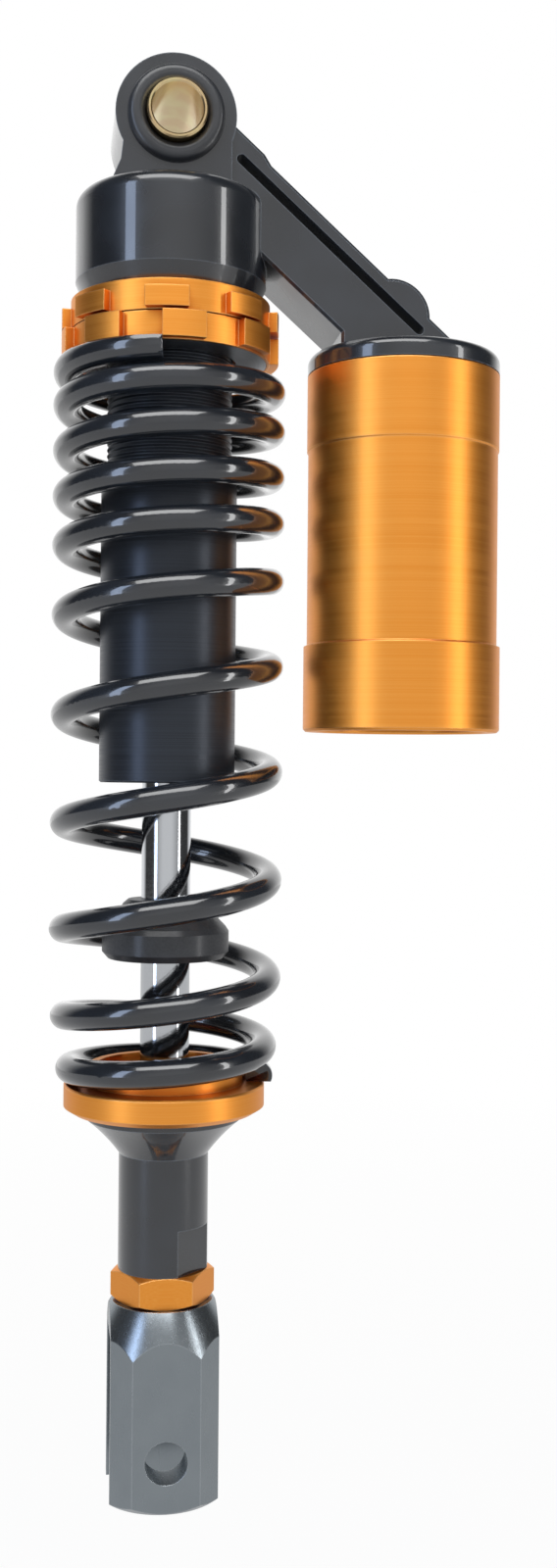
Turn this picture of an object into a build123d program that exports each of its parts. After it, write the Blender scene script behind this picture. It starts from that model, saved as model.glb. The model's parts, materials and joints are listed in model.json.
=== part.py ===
from build123d import *
import math
import os

# Gas-charged motorcycle shock absorber with a coil spring and a side reservoir.
# Millimetres, +Z up. The origin is the centre of the upper eye, whose bore runs along Y.
# The reservoir hangs off an arm on the +X side. The shock is drawn fully extended.

# ---- overall sizes ----
eye_centres = 320.0
wire_d = 6.6
spring_od = 56.8
reservoir_gap = 5.6       # air between the spring and the reservoir beside it

# ---- fits ----
running = 0.05        # radial clearance of a part that slides or turns in another
seated = 0.02         # radial clearance of a part that is pressed or screwed home
air = 0.3             # gap between parts that only pass each other
seal_groove = 1.4     # depth of the groove that an O-ring sits in

# ---- upper eye, rubber bush and sleeve ----
eye_r = 14.5
eye_width = 24.0
bush_r = 11.0
bush_lip_r = 11.6
bush_proud = 2.2
bush_roll = 1.8           # radius of the lip's rounding, inside and out
sleeve_r = 7.25
sleeve_bore_r = 6.1
sleeve_length = 32.0
sleeve_chamfer = 0.35

# ---- head casting ----
head_r = 23.3
head_top = -16.5
head_bottom = -42.5
head_edge = 3.6
head_skirt_inset = 2.0
head_skirt_rise = 4.4
neck_left_waist = 12.6
neck_left_foot = 15.2
neck_right = 13.4
neck_waist_z = -7.0
tube_pocket_top = -27.0
oil_chamber_lip = 1.0     # how far the chamber over the damper is smaller than its bore
oil_chamber_top = -21.5

# ---- arm from the head to the reservoir cap ----
arm_slope = 41.5
arm_above_eye = 7.5
arm_height = 17.9
arm_width = 22.0
arm_edge = 0.7
arm_inner_end = 17.9      # from the reservoir's axis in to the corner under the arm
arm_outer_end = 12.5      # from the reservoir's axis out to where the arm's top meets the cap
root_step_rise = 0.9
root_step_along = 21.3
root_step_run = 3.0
groove_along_start = 17.0
groove_end_past_knuckle = 6.7
groove_above_line = 3.4
groove_width = 2.3
groove_depth = 7.0
knuckle_r = 9.2
knuckle_inset = 5.1       # from the reservoir's axis in to the knuckle's centre
knuckle_above = 1.5
cap_height = 4.9
cap_edge = 2.4

# ---- oil way from the damper to the reservoir ----
oil_way_r = 2.5
oil_way_z = -26.0
oil_drop_head = 7.0       # from the plug's seat in to where the drop leaves the cross drilling
oil_drop_foot = 5.5       # from the reservoir's axis out to the foot of the drop
plug_r = 3.4
plug_length = 5.0
plug_hex = 4.0
plug_seat_x = 31.0

# ---- damper tube ----
tube_top = -30.0
tube_bottom = -159.5
damper_bore_r = 13.5
thread_wall = 1.8
barrel_step = 1.3
thread_depth = 0.45
thread_pitch = 1.5
thread_end = -83.8

# ---- base valve ----
valve_plate = 3.0
valve_ports = 6
valve_port_r = 1.5

# ---- spring adjuster rings ----
ring_root_inset = 0.8     # the plain part of a ring is this much inside the coil's mean radius
ring_tooth_reach = 1.4    # and the teeth are this much outside it
ring_teeth = 8
ring_tooth_deg = 22.5
lock_ring_height = 7.2
lock_ring_tooth_low = 0.2
lock_ring_tooth_height = 4.8
lock_ring_turn = -96.5
preload_ring_height = 6.6
preload_tooth_low = 0.2
preload_tooth_height = 6.2
preload_ring_turn = -87.5
washer_rim = 0.8
washer_play = 0.9
washer_thick = 1.0

# ---- spring: heights above the lower seat at each whole turn, and the radius of its small lower end ----
coil_first_deg = 171.5
coil_stations = [
    (-0.5, 1.5), (0.0, 3.4), (1.0, 16.0), (2.0, 37.0), (3.0, 62.8), (4.0, 89.0), (5.0, 113.4),
    (6.0, 130.4), (7.0, 142.4), (8.0, 153.5), (9.0, 164.6), (10.0, 172.6), (10.25, 174.2),
]
coil_drawn_height = 175.8
lower_coil_inset = 1.9
lower_inset_turns = 2.0
coil_points_per_turn = 12

# ---- rod, piston and bump stop ----
rod_r = 6.0
rod_step = 2.0
piston_thick = 12.0
piston_gap = 0.25
band_height = 7.0
band_thick = 1.2
shim_gap = 3.0
shim_count = 3
shim_thick = 0.3
shim_step = 1.6
piston_nut_wall = 2.5
piston_nut_height = 6.5
rod_tip = 1.5
bumper_height = 5.0
bumper_gap = 3.0
stop_top = -188.0
stop_height = 14.3
stop_wall = 9.5
stop_neck_wall = 4.4
stop_shoulder_wall = 6.2

# ---- rod guide and its seals ----
guide_height = 17.0
guide_recess = 2.0
guide_bush_wall = 1.2
guide_bush_height = 8.0
oil_seal_wall = 3.5
oil_seal_height = 4.5
wiper_wall = 3.0
wiper_height = 3.2
clip_wire = 1.2

# ---- lower spring seat and mount boss: places measured up from the clevis pin ----
seat_face_up = 87.3
seat_reach = 1.3          # the seat's rim is this much outside the mean radius of the coil's foot
seat_height = 6.8
seat_edge = 1.3
seat_guide_gap = 0.7
seat_guide_height = 4.4
seat_guide_wall = 2.7
seat_floor = 3.0
boss_bottom_up = 42.0
boss_r = 10.95
boss_flange_inset = 5.3
boss_flange_rim = 1.9
boss_cone_height = 8.4
boss_spigot_wall = 4.5
boss_flat_cut = 1.45
boss_flat_height = 11.0
boss_flat_deg = -45.5
rod_screw_depth = 18.0
collar_wall = 2.0
collar_height = 6.0

# ---- lock nut and clevis ----
stud_r = 6.0
stud_depth = 14.0
lock_nut_wall = 5.0
lock_nut_height = 7.6
clevis_width = 26.0
clevis_depth = 32.0
clevis_face = 16.2
clevis_side = 20.0
clevis_gap = 16.0
clevis_slot_up = 27.0
clevis_pin_r = 5.1
clevis_below_pin = 12.2
clevis_top_r = 12.4
clevis_arch_r = 16.0
clevis_arch_drop = 6.1
clevis_outer_r = 18.5
clevis_outer_drop = 11.5
clevis_toe = 2.4

# ---- reservoir ----
reservoir_bore_r = 21.0
reservoir_wall = 3.0
reservoir_band_drop = 0.3
reservoir_foot_rise = 0.5
reservoir_length = 88.8
reservoir_top_band = 18.8
reservoir_foot_band = 21.2
cap_spigot_length = 8.3
end_cap_height = 8.0
end_cap_recess = 8.5
end_clip_wire = 1.4
floating_piston_height = 14.0
floating_piston_room = 13.0
floating_piston_skin = 2.5

# ---- gas valve ----
gas_valve_r = 3.85
gas_valve_flange_r = 6.0
gas_valve_stub = 4.0
gas_valve_drop = 6.5
gas_valve_bore_r = 2.6
gas_core_r = 1.3
gas_cap_r = 5.2
gas_cap_height = 5.5


# ---- helpers ----
def disc(radius, top, bottom, x=0.0):
    """A solid cylinder along Z between two heights."""
    return Pos(x, 0, (top + bottom) / 2) * Cylinder(radius, top - bottom)


def tube(outer, inner, top, bottom, x=0.0):
    """A plain ring along Z between two heights."""
    over = 1.0
    return disc(outer, top, bottom, x) - disc(inner, top + over, bottom - over, x)


def bar_y(radius, length, x=0.0, z=0.0):
    """A cylinder along Y, centred on the plane of the arm."""
    return Pos(x, 0, z) * Rot(90, 0, 0) * Cylinder(radius, length)


def turned(points, x=0.0):
    """A body turned about the Z axis from (radius, height) points."""
    outline = make_face(Plane.XZ * Polyline(*points, close=True))
    return Pos(x, 0, 0) * revolve(outline, Axis.Z)


def plate_y(points, width):
    """An (x, z) outline made as thick as width, centred on the plane of the arm."""
    outline = make_face(Plane.XZ * Polyline(*points, close=True))
    return extrude(outline, width / 2, both=True)


def hexagon(across_flats, top, bottom, turn=0.0):
    """A hexagonal prism whose flats face -Y and +Y when turn is 0."""
    blank = RegularPolygon(across_flats / 2, 6, major_radius=False)
    return Pos(0, 0, bottom) * Rot(0, 0, turn) * extrude(blank, top - bottom)


def chamfered_nut(across_flats, bore, top, bottom, both_ends=True):
    """A hexagon nut with its corners turned off at 30 degrees."""
    corner = across_flats / math.sqrt(3)
    low = across_flats / 2 - 0.1
    drop = (corner - low) * math.tan(math.radians(30))
    foot = [(corner, bottom + drop), (low, bottom)] if both_ends else [(corner, bottom)]
    cone = turned([(0, top), (low, top), (corner, top - drop)] + foot + [(0, bottom)])
    blank = hexagon(across_flats, top, bottom)
    return (blank & cone) - disc(bore, top + 1, bottom - 1)


def o_ring(outer, section, z, x=0.0):
    """A round rubber ring whose outside just clears the bore it seals."""
    return Pos(x, 0, z) * Torus(outer - section / 2, section / 2)


def between(stations, at):
    """A smooth curve through (place, value) stations."""
    last = len(stations) - 1
    span = max(i for i in range(last) if stations[i][0] <= at or i == 0)

    def slope(i):
        before = stations[max(i - 1, 0)]
        after = stations[min(i + 1, last)]
        return (after[1] - before[1]) / (after[0] - before[0])

    (x0, y0), (x1, y1) = stations[span], stations[span + 1]
    run = x1 - x0
    t = (at - x0) / run
    rise = (3 * t ** 2 - 2 * t ** 3) * (y1 - y0)
    ease_out = (t ** 3 - 2 * t ** 2 + t) * run * slope(span)
    ease_in = (t ** 3 - t ** 2) * run * slope(span + 1)
    return y0 + rise + ease_out + ease_in


def arm_point(along, above):
    """A point of the arm's own plane as (x, z): along the slope from the eye, and square to it."""
    slope = math.radians(arm_slope)
    x = along * math.cos(slope) + above * math.sin(slope)
    z = -along * math.sin(slope) + above * math.cos(slope)
    return x, z


def arm_line_at(x, above):
    """Height of a line parallel to the arm where it crosses x."""
    slope = math.radians(arm_slope)
    return above / math.cos(slope) - x * math.tan(slope)


# ---- radii worked out from the sizes above ----
coil_r = (spring_od - wire_d) / 2
foot_coil_r = coil_r - lower_coil_inset
thread_r = damper_bore_r + thread_wall
tube_r = thread_r + barrel_step
oil_chamber_r = damper_bore_r - oil_chamber_lip
ring_root_r = coil_r - ring_root_inset
ring_tooth_r = coil_r + ring_tooth_reach
washer_r = ring_root_r - washer_rim
washer_bore_r = thread_r + washer_play
rod_stud_r = rod_r - rod_step
valve_port_circle = (rod_stud_r + damper_bore_r) / 2 - 0.75
shim_r = damper_bore_r - shim_gap
bumper_r = damper_bore_r - bumper_gap
piston_nut_af = 2 * (rod_stud_r + piston_nut_wall)
guide_bush_r = rod_r + guide_bush_wall
oil_seal_r = rod_r + oil_seal_wall
wiper_r = rod_r + wiper_wall
stop_r = rod_r + stop_wall
stop_neck_r = rod_r + stop_neck_wall
stop_shoulder_r = rod_r + stop_shoulder_wall
seat_r = foot_coil_r + seat_reach
seat_guide_r = foot_coil_r - wire_d / 2 - seat_guide_gap
seat_well_r = seat_guide_r - seat_guide_wall
boss_flange_r = seat_r - boss_flange_inset
boss_spigot_r = rod_r + boss_spigot_wall
collar_af = 2 * (rod_r + collar_wall)
lock_nut_af = 2 * (stud_r + lock_nut_wall)
reservoir_r = reservoir_bore_r + reservoir_wall
reservoir_band_r = reservoir_r - reservoir_band_drop
reservoir_foot_r = reservoir_r + reservoir_foot_rise
reservoir_x = spring_od / 2 + reservoir_gap + reservoir_foot_r

# ---- places worked out from the sizes above ----
pin_z = -eye_centres
lock_ring_top = head_bottom - air
lock_ring_bottom = lock_ring_top - lock_ring_height
preload_ring_top = lock_ring_bottom - air
preload_ring_bottom = preload_ring_top - preload_ring_height
seat_face = pin_z + seat_face_up
seat_bottom = seat_face - seat_height
boss_bottom = pin_z + boss_bottom_up
nut_bottom = boss_bottom - lock_nut_height
clevis_bottom = pin_z - clevis_below_pin
collar_bottom = seat_bottom + seat_floor
collar_top = collar_bottom + collar_height
rod_bottom = collar_bottom - rod_screw_depth
guide_bottom = tube_bottom + guide_recess
guide_top = guide_bottom + guide_height
bumper_top = guide_top + bumper_height
shoulder_z = bumper_top + piston_gap
shim_pack = shim_count * shim_thick
piston_bottom = shoulder_z + shim_pack
piston_top = piston_bottom + piston_thick
piston_nut_bottom = piston_top + shim_pack
piston_nut_top = piston_nut_bottom + piston_nut_height
arm_outer_end_x = reservoir_x + arm_outer_end
arm_inner_end_x = reservoir_x - arm_inner_end
cap_top = arm_line_at(arm_outer_end_x, arm_above_eye)
cap_bottom = cap_top - cap_height
knuckle_x = reservoir_x - knuckle_inset
knuckle_z = arm_line_at(knuckle_x, knuckle_above)
groove_along_end = knuckle_x / math.cos(math.radians(arm_slope)) + groove_end_past_knuckle
oil_drop_head_x = plug_seat_x - oil_drop_head
oil_drop_foot_x = reservoir_x + oil_drop_foot
reservoir_bottom = cap_bottom - reservoir_length
reservoir_step_a = cap_bottom - reservoir_top_band
reservoir_step_b = reservoir_bottom + reservoir_foot_band
floating_piston_top = cap_bottom - cap_spigot_length - floating_piston_room
end_cap_bottom = reservoir_bottom + end_cap_recess
end_cap_top = end_cap_bottom + end_cap_height
spigot_bottom = cap_bottom - cap_spigot_length


# ---- head casting ----
def neck():
    """The flat web that carries the eye on the head."""
    foot_z = head_top - head_edge
    left = [(-neck_left_waist, neck_waist_z), (-neck_left_waist - 0.5, neck_waist_z - 4.5)]
    foot = [(-neck_left_foot, head_top), (-neck_left_foot - 1.2, foot_z)]
    right = [(neck_right, foot_z), (neck_right, 0), (0, 0), (-neck_left_waist, 0)]
    return plate_y(left + foot + right, eye_width)


def head_barrel():
    """The round body that the damper tube screws into, rounded above and turned in below."""
    skirt_z = head_bottom + head_skirt_rise
    skirt_r = head_r - head_skirt_inset
    points = [(0, head_top), (head_r, head_top), (head_r, skirt_z), (skirt_r, head_bottom), (0, head_bottom)]
    barrel = turned(points)
    return fillet(barrel.edges().group_by(Axis.Z)[-1], head_edge)


def arm_blank():
    """The sloping arm with its thicker root, before the grooves are cut."""
    below = arm_above_eye - arm_height
    root_top = arm_above_eye + root_step_rise
    start = arm_point(4.0, root_top)
    step = arm_point(root_step_along, root_top)
    step_end = arm_point(root_step_along + root_step_run, arm_above_eye)
    outer = (arm_outer_end_x, cap_top)
    inner_foot = (arm_inner_end_x, cap_top)
    inner = (arm_inner_end_x, arm_line_at(arm_inner_end_x, below))
    root = (0, arm_line_at(0, below))
    beam = plate_y([start, step, step_end, outer, inner_foot, inner, root], arm_width)
    blank = beam + bar_y(knuckle_r, arm_width, knuckle_x, knuckle_z)
    sides = blank.faces().filter_by(Axis.Y)
    return chamfer(sides.edges(), arm_edge)


def arm_groove(side):
    """One of the two long grooves that leave a rib along the top of the arm."""
    length = groove_along_end - groove_along_start
    middle = (groove_along_start + groove_along_end) / 2
    x, z = arm_point(middle, groove_above_line)
    slot = extrude(SlotOverall(length, groove_width), groove_depth, both=True)
    return Pos(x, side * arm_width / 2, z) * Rot(0, arm_slope, 0) * Rot(90, 0, 0) * slot


def cap_blank():
    """The round cap over the reservoir, with the spigot that the reservoir tube screws on to."""
    cap = disc(reservoir_r, cap_top, cap_bottom, reservoir_x)
    cap = fillet(cap.edges().group_by(Axis.Z)[-1], cap_edge)
    spigot = disc(reservoir_bore_r - seated, cap_bottom + 1, spigot_bottom, reservoir_x)
    groove_z = (cap_bottom + spigot_bottom) / 2
    groove = tube(reservoir_r, reservoir_bore_r - seal_groove, groove_z + 1, groove_z - 1, reservoir_x)
    return cap + (spigot - groove)


def oil_ways():
    """The drilling from the damper into the arm, the drop to the reservoir and the plug's thread."""
    cross = Pos(plug_seat_x / 2, 0, oil_way_z) * Rot(0, 90, 0) * Cylinder(oil_way_r, plug_seat_x)
    run = oil_drop_foot_x - oil_drop_head_x
    fall = oil_way_z - spigot_bottom + 2
    tilt = math.degrees(math.atan2(run, fall))
    middle = (oil_drop_head_x + run / 2, 0, oil_way_z - fall / 2)
    drop = Pos(*middle) * Rot(0, -tilt, 0) * Cylinder(oil_way_r, math.hypot(run, fall))
    thread_length = arm_outer_end_x - plug_seat_x
    thread_middle = plug_seat_x + thread_length / 2
    thread = Pos(thread_middle, 0, oil_way_z) * Rot(0, 90, 0) * Cylinder(plug_r, thread_length)
    return cross + drop + thread


def head_casting():
    solid = bar_y(eye_r, eye_width) + neck() + head_barrel() + arm_blank() + cap_blank()
    solid -= bar_y(bush_r, eye_width + 2)
    solid -= disc(thread_r + seated, tube_pocket_top, head_bottom - 1)
    solid -= disc(oil_chamber_r, oil_chamber_top, tube_pocket_top - 1)
    solid -= arm_groove(1) + arm_groove(-1)
    return solid - oil_ways()


def eye_bush():
    """Rubber bush with a rolled lip that stands a little out of the eye at each end."""
    half = eye_width / 2
    tip = half + bush_proud
    inner = sleeve_r + running
    outer = bush_r - seated
    end = turned([(inner, 0), (outer, 0), (outer, half), (bush_lip_r, half), (bush_lip_r, tip), (inner, tip)])
    rims = end.edges().filter_by(GeomType.CIRCLE).filter_by_position(Axis.Z, tip - air, tip + air)
    end = fillet(rims, bush_roll)
    whole = end + end.mirror(Plane.XY)
    return Rot(90, 0, 0) * whole


def eye_sleeve():
    sleeve = bar_y(sleeve_r, sleeve_length) - bar_y(sleeve_bore_r, sleeve_length + 2)
    ends = sleeve.edges().filter_by(GeomType.CIRCLE)
    return chamfer(ends, sleeve_chamfer)


def passage_plug():
    """Grub screw that closes the outer end of the cross drilling."""
    body = Pos(plug_seat_x + plug_length / 2, 0, oil_way_z) * Rot(0, 90, 0) * Cylinder(plug_r - seated, plug_length)
    key = extrude(RegularPolygon(plug_hex / 2, 6, major_radius=False), plug_length)
    return body - Pos(plug_seat_x + plug_length / 2, 0, oil_way_z) * Rot(0, 90, 0) * key


# ---- damper ----
def damper_tube():
    """Tube with a long outside thread for the adjuster rings above and a plain barrel below."""
    outside = [(damper_bore_r, tube_top), (thread_r, tube_top), (thread_r, head_bottom)]
    threads = int((head_bottom - thread_end) / thread_pitch)
    for i in range(threads):
        z = head_bottom - i * thread_pitch
        outside += [(thread_r - thread_depth, z - thread_pitch / 2), (thread_r, z - thread_pitch)]
    shoulder = tube_r - thread_r
    outside += [(thread_r, thread_end), (tube_r - 0.3, thread_end), (tube_r, thread_end - shoulder / 2)]
    outside += [(tube_r, tube_bottom + 0.4), (tube_r - 0.4, tube_bottom)]
    clip_z = guide_bottom - clip_wire
    clip_r = damper_bore_r + clip_wire / 2
    inside = [(damper_bore_r, tube_bottom), (damper_bore_r, clip_z), (clip_r, clip_z)]
    inside += [(clip_r, guide_bottom), (damper_bore_r, guide_bottom)]
    return turned(outside + inside)


def base_valve():
    """Ported plate clamped between the top of the tube and the head."""
    plate = disc(thread_r - air, tube_pocket_top, tube_pocket_top - valve_plate)
    ports = PolarLocations(valve_port_circle, valve_ports)
    drilled = [place * Cylinder(valve_port_r, valve_plate + 2) for place in ports]
    middle = Pos(0, 0, tube_pocket_top - valve_plate / 2)
    return plate - [middle * hole for hole in drilled]


def rod_guide():
    """Bearing head in the foot of the tube, stepped inside for the bush, the oil seal and the wiper."""
    wiper_top = guide_bottom + wiper_height
    seal_top = wiper_top + oil_seal_height
    bush_top = seal_top + guide_bush_height
    ring_z = guide_bottom + guide_height / 2
    outer = damper_bore_r - seated
    groove = outer - seal_groove
    points = [
        (wiper_r, guide_bottom), (outer, guide_bottom), (outer, ring_z - 1), (groove, ring_z - 1),
        (groove, ring_z + 1), (outer, ring_z + 1), (outer, guide_top), (rod_r + air, guide_top),
        (rod_r + air, bush_top), (guide_bush_r, bush_top), (guide_bush_r, seal_top), (oil_seal_r, seal_top),
        (oil_seal_r, wiper_top), (wiper_r, wiper_top),
    ]
    return turned(points)


def guide_ring(outer, height, level):
    """A ring that fills one step of the rod guide and runs on the rod."""
    return tube(outer - seated, rod_r + running, level + height, level)


def dust_wiper():
    """Wiper seal with a lip that leans on to the rod."""
    height = wiper_height
    outer = wiper_r - seated
    inner = rod_r + running
    points = [
        (inner, guide_bottom), (inner + 0.5, guide_bottom), (inner + 1.2, guide_bottom + 1.2),
        (outer, guide_bottom + 1.2), (outer, guide_bottom + height), (inner, guide_bottom + height),
    ]
    return turned(points)


def guide_clip():
    """Open wire ring that holds the rod guide in the tube."""
    section_r = clip_wire / 2 - seated
    ring = o_ring(damper_bore_r + clip_wire / 2 - seated, 2 * section_r, guide_bottom - clip_wire / 2)
    gap = Pos(damper_bore_r, 0, guide_bottom - clip_wire / 2) * Box(6, 4, 3)
    return ring - gap


def top_out_bumper():
    """Rubber ring on the rod guide that the piston meets when the shock is fully extended."""
    points = [
        (rod_r + air, guide_top), (bumper_r, guide_top), (bumper_r, bumper_top - 1.5),
        (bumper_r - 1.5, bumper_top), (rod_r + air, bumper_top),
    ]
    return turned(points)


def damper_rod():
    stud_top = piston_nut_top + rod_tip
    points = [
        (0, rod_bottom), (rod_r - 0.8, rod_bottom), (rod_r, rod_bottom + 0.8), (rod_r, shoulder_z),
        (rod_stud_r, shoulder_z), (rod_stud_r, stud_top - 0.6), (rod_stud_r - 0.6, stud_top), (0, stud_top),
    ]
    return turned(points)


def piston():
    """Ported piston with a wide groove for its band."""
    outer = damper_bore_r - air
    groove = damper_bore_r - running - band_thick
    low = piston_bottom + (piston_thick - band_height) / 2
    high = low + band_height
    body = turned([
        (rod_stud_r + seated, piston_bottom), (outer, piston_bottom), (outer, low), (groove, low),
        (groove, high), (outer, high), (outer, piston_top), (rod_stud_r + seated, piston_top),
    ])
    middle = Pos(0, 0, (piston_top + piston_bottom) / 2)
    ports = PolarLocations(valve_port_circle, valve_ports)
    return body - [middle * place * Cylinder(valve_port_r, piston_thick + 2) for place in ports]


def piston_band():
    low = piston_bottom + (piston_thick - band_height) / 2
    outer = damper_bore_r - running
    return tube(outer, outer - band_thick + seated, low + band_height, low)


def shim_stack(level, away):
    """Thin washers that get smaller away from the piston."""
    shims = []
    for i in range(shim_count):
        radius = shim_r - i * shim_step
        start = level + away * i * shim_thick
        end = start + away * shim_thick
        shims.append(tube(radius, rod_stud_r + seated, max(start, end), min(start, end)))
    return Compound(children=shims)


def piston_nut():
    return chamfered_nut(piston_nut_af, rod_stud_r + seated, piston_nut_top, piston_nut_bottom)


def bump_stop():
    """Rubber stop on the rod: a flat disc below, a rounded neck above and a rolled waist between."""
    bottom = stop_top - stop_height
    shoulder = stop_top - 4.0
    waist = bottom + stop_height / 2
    points = [
        (rod_r + running, stop_top), (stop_neck_r - 1.2, stop_top), (stop_neck_r, stop_top - 1.0),
        (stop_shoulder_r, shoulder), (stop_r - 0.8, waist + 0.6), (stop_r, waist - 0.6),
        (stop_r, bottom + 1.6), (stop_r - 1.4, bottom), (rod_r + running, bottom),
    ]
    return turned(points)


# ---- adjuster rings ----
def castle_ring(top, height, tooth_low, tooth_height, turn):
    """A threaded ring with square teeth round it for a hook spanner."""
    bottom = top - height
    tooth_bottom = bottom + tooth_low
    tooth_top = tooth_bottom + tooth_height
    ring = disc(ring_root_r, top, bottom)
    toothed = disc(ring_tooth_r, tooth_top, tooth_bottom)
    reach = ring_tooth_r * 1.5
    half = math.radians((360 / ring_teeth - ring_tooth_deg) / 2)
    side = (reach * math.cos(half), reach * math.sin(half))
    wedge = make_face(Polyline((0, 0), side, (side[0], -side[1]), close=True))
    for i in range(ring_teeth):
        space = turn + (i + 0.5) * 360 / ring_teeth
        gap = Pos(0, 0, tooth_bottom - 1) * Rot(0, 0, space) * extrude(wedge, tooth_height + 2)
        toothed -= gap
    ring = ring + toothed
    return ring - disc(thread_r + running, top + 1, bottom - 1)


def lock_ring():
    return castle_ring(lock_ring_top, lock_ring_height, lock_ring_tooth_low, lock_ring_tooth_height, lock_ring_turn)


def preload_ring():
    """The lower ring, recessed underneath for the thrust washer."""
    ring = castle_ring(
        preload_ring_top, preload_ring_height, preload_tooth_low, preload_tooth_height, preload_ring_turn
    )
    recess_top = preload_ring_bottom + washer_thick
    return ring - disc(washer_r + running, recess_top, preload_ring_bottom - 1)


def thrust_washer():
    """Washer that lets the preload ring turn without winding the spring up."""
    return tube(washer_r - running, washer_bore_r, preload_ring_bottom + washer_thick, preload_ring_bottom)


# ---- spring ----
def coil_centre(turn):
    """The wire's centre line: close-wound and slightly smaller at the foot, progressive above."""
    free_height = preload_ring_bottom - seat_face
    z = seat_face + between(coil_stations, turn) * free_height / coil_drawn_height
    up = min(max(turn / lower_inset_turns, 0), 1)
    radius = coil_r - lower_coil_inset * (1 - up) ** 2
    angle = math.radians(coil_first_deg + 360 * turn)
    return radius * math.cos(angle), radius * math.sin(angle), z


def main_spring():
    """Right-handed round-wire spring, ground flat at both ends."""
    first = coil_stations[0][0]
    last = coil_stations[-1][0]
    count = int((last - first) * coil_points_per_turn) + 1
    step = (last - first) / (count - 1)
    path = Spline(*[coil_centre(first + i * step) for i in range(count)])
    wire = sweep(Plane(origin=path @ 0, z_dir=path % 0) * Circle(wire_d / 2), path=path, is_frenet=True)
    room = disc(spring_od, preload_ring_bottom, seat_face)
    return wire & room


# ---- lower mount ----
def lower_spring_seat():
    """Anodised seat with a raised ring that centres the spring and a well round the rod."""
    floor_z = seat_bottom + seat_floor
    points = [
        (boss_spigot_r + running, seat_bottom), (seat_r - seat_edge * 1.6, seat_bottom),
        (seat_r, seat_bottom + seat_edge), (seat_r, seat_face - 0.4), (seat_r - 0.4, seat_face),
        (seat_guide_r, seat_face), (seat_guide_r, seat_face + seat_guide_height - 0.8),
        (seat_guide_r - 0.8, seat_face + seat_guide_height), (seat_well_r, seat_face + seat_guide_height),
        (seat_well_r, floor_z), (boss_spigot_r + running, floor_z),
    ]
    return turned(points)


def lower_boss():
    """Boss under the seat: a flange, a trumpet neck and a barrel with two spanner flats."""
    rim_z = seat_bottom - boss_flange_rim
    waist_z = rim_z - boss_cone_height
    with BuildPart() as body:
        with BuildSketch(Plane.XZ):
            with BuildLine():
                Polyline((0, collar_bottom), (boss_spigot_r, collar_bottom), (boss_spigot_r, seat_bottom))
                Polyline((boss_spigot_r, seat_bottom), (boss_flange_r, seat_bottom), (boss_flange_r - 0.3, rim_z))
                middle = (boss_r + (boss_flange_r - boss_r) * 0.42, (rim_z + waist_z) / 2)
                ThreePointArc((boss_flange_r - 0.3, rim_z), middle, (boss_r, waist_z))
                Polyline((boss_r, waist_z), (boss_r, boss_bottom), (0, boss_bottom), (0, collar_bottom))
            make_face()
        revolve(axis=Axis.Z)
    boss = body.part
    boss -= disc(rod_r + seated, collar_bottom + 1, rod_bottom)
    boss -= disc(stud_r + running, boss_bottom + stud_depth + air, boss_bottom - 1)
    for side in (0, 180):
        beyond = boss_r - boss_flat_cut + 10
        cut = Pos(beyond, 0, boss_bottom + boss_flat_height / 2 - 1) * Box(20, 40, boss_flat_height + 2)
        boss -= Rot(0, 0, boss_flat_deg + side) * cut
    return boss


def rod_collar():
    """Steel jam nut that locks the rod into the boss."""
    return chamfered_nut(collar_af, rod_r + seated, collar_top, collar_bottom, both_ends=False)


def clevis_lock_nut():
    return chamfered_nut(lock_nut_af, stud_r + running, boss_bottom, nut_bottom)


def clevis_blank():
    """Eight-sided fork body, turned to a cone at the shoulder and eased at the toe."""
    half_x = clevis_width / 2
    half_y = clevis_depth / 2
    face = clevis_face / 2
    side = clevis_side / 2
    corners = [
        (face, half_y), (half_x, side), (half_x, -side), (face, -half_y),
        (-face, -half_y), (-half_x, -side), (-half_x, side), (-face, half_y),
    ]
    prism = extrude(make_face(Polyline(*corners, close=True)), nut_bottom - clevis_bottom)
    shoulder = nut_bottom - clevis_outer_drop
    arch = nut_bottom - clevis_arch_drop
    with BuildPart() as envelope:
        with BuildSketch(Plane.XZ):
            with BuildLine():
                Polyline((0, nut_bottom), (clevis_top_r, nut_bottom))
                ThreePointArc((clevis_top_r, nut_bottom), (clevis_arch_r, arch), (clevis_outer_r, shoulder))
                Polyline(
                    (clevis_outer_r, shoulder), (clevis_outer_r, clevis_bottom + clevis_toe),
                    (clevis_outer_r - clevis_toe * 1.25, clevis_bottom), (0, clevis_bottom), (0, nut_bottom),
                )
            make_face()
        revolve(axis=Axis.Z)
    return (Pos(0, 0, clevis_bottom) * prism) & envelope.part


def clevis():
    """Fork with its threaded stud, slotted through along X and bored along Y."""
    fork = clevis_blank()
    slot_top = pin_z + clevis_slot_up
    slot_height = slot_top - clevis_bottom + 5
    slot = Pos(0, 0, slot_top - slot_height / 2) * Box(clevis_width + 4, clevis_gap, slot_height)
    fork -= slot
    fork -= bar_y(clevis_pin_r, clevis_depth + 4, 0, pin_z)
    stud_top = boss_bottom + stud_depth
    stud = turned([
        (0, nut_bottom - 1), (stud_r, nut_bottom - 1), (stud_r, stud_top - 0.8), (stud_r - 0.8, stud_top),
        (0, stud_top),
    ])
    return fork + stud


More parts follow.
